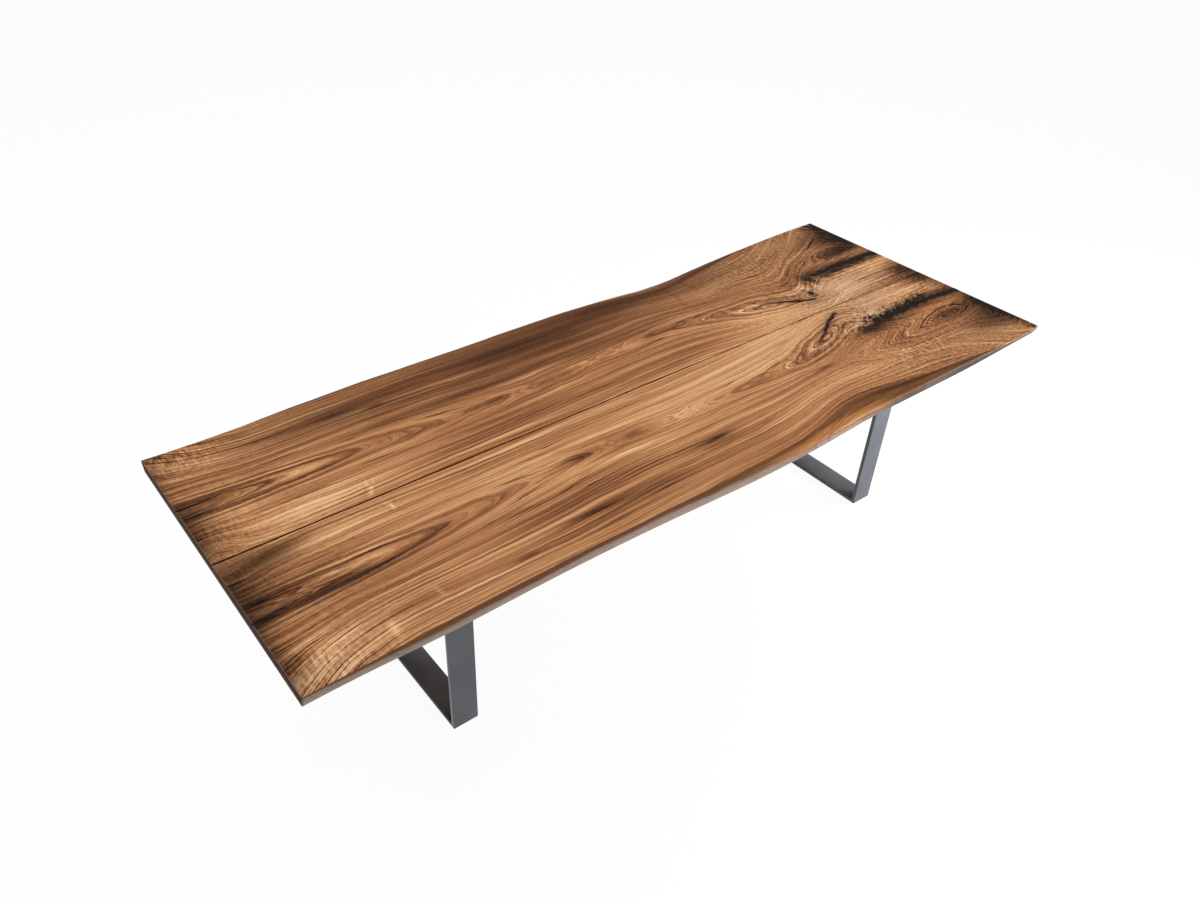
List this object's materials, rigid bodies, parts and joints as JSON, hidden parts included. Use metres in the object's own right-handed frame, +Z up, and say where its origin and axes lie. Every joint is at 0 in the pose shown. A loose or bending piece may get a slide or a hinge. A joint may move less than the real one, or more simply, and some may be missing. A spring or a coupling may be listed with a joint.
{
  "type": "live edge dining table",
  "caption": "Long dining table with a book-matched live edge walnut top, black filled cracks and closed flat steel leg frames that splay slightly.",
  "frame": {"origin": "on the floor under the middle of the table's outline", "axes": "+X along the planks to the end with the bark inclusions, +Y to the rear edge, +Z up"},
  "size_m": [3, 1.2003, 0.75],
  "materials": {
    "walnut": "matt oiled walnut",
    "tenon_wood": "plain planed beech",
    "black_resin": "black resin sanded level",
    "leg_steel": "anthracite fine texture powder coat",
    "channel_steel": "black powder coat",
    "bolt_steel": "dark zinc plate",
    "insert_steel": "yellow zinc plate",
    "glide_plastic": "black moulded nylon"
  },
  "bodies": {
    "root": {"plank_front": "walnut", "plank_rear": "walnut", "seam_tenons": "tenon_wood", "front_end_fill": "black_resin", "front_bark_fill": "black_resin", "front_knot_fill": "black_resin", "rear_end_fill": "black_resin", "rear_bark_fill": "black_resin", "rear_knot_fill": "black_resin", "left_foot_bar": "leg_steel", "left_front_upright": "leg_steel", "left_rear_upright": "leg_steel", "left_top_plate": "leg_steel", "left_front_glide": "glide_plastic", "left_rear_glide": "glide_plastic", "left_leg_bolts": "bolt_steel", "left_leg_washers": "bolt_steel", "left_leg_inserts": "insert_steel", "right_foot_bar": "leg_steel", "right_front_upright": "leg_steel", "right_rear_upright": "leg_steel", "right_top_plate": "leg_steel", "right_front_glide": "glide_plastic", "right_rear_glide": "glide_plastic", "right_leg_bolts": "bolt_steel", "right_leg_washers": "bolt_steel", "right_leg_inserts": "insert_steel", "left_end_channel": "channel_steel", "centre_channel": "channel_steel", "right_end_channel": "channel_steel", "channel_bolts": "bolt_steel", "channel_washers": "bolt_steel", "channel_inserts": "insert_steel"}
  },
  "joints": []
}
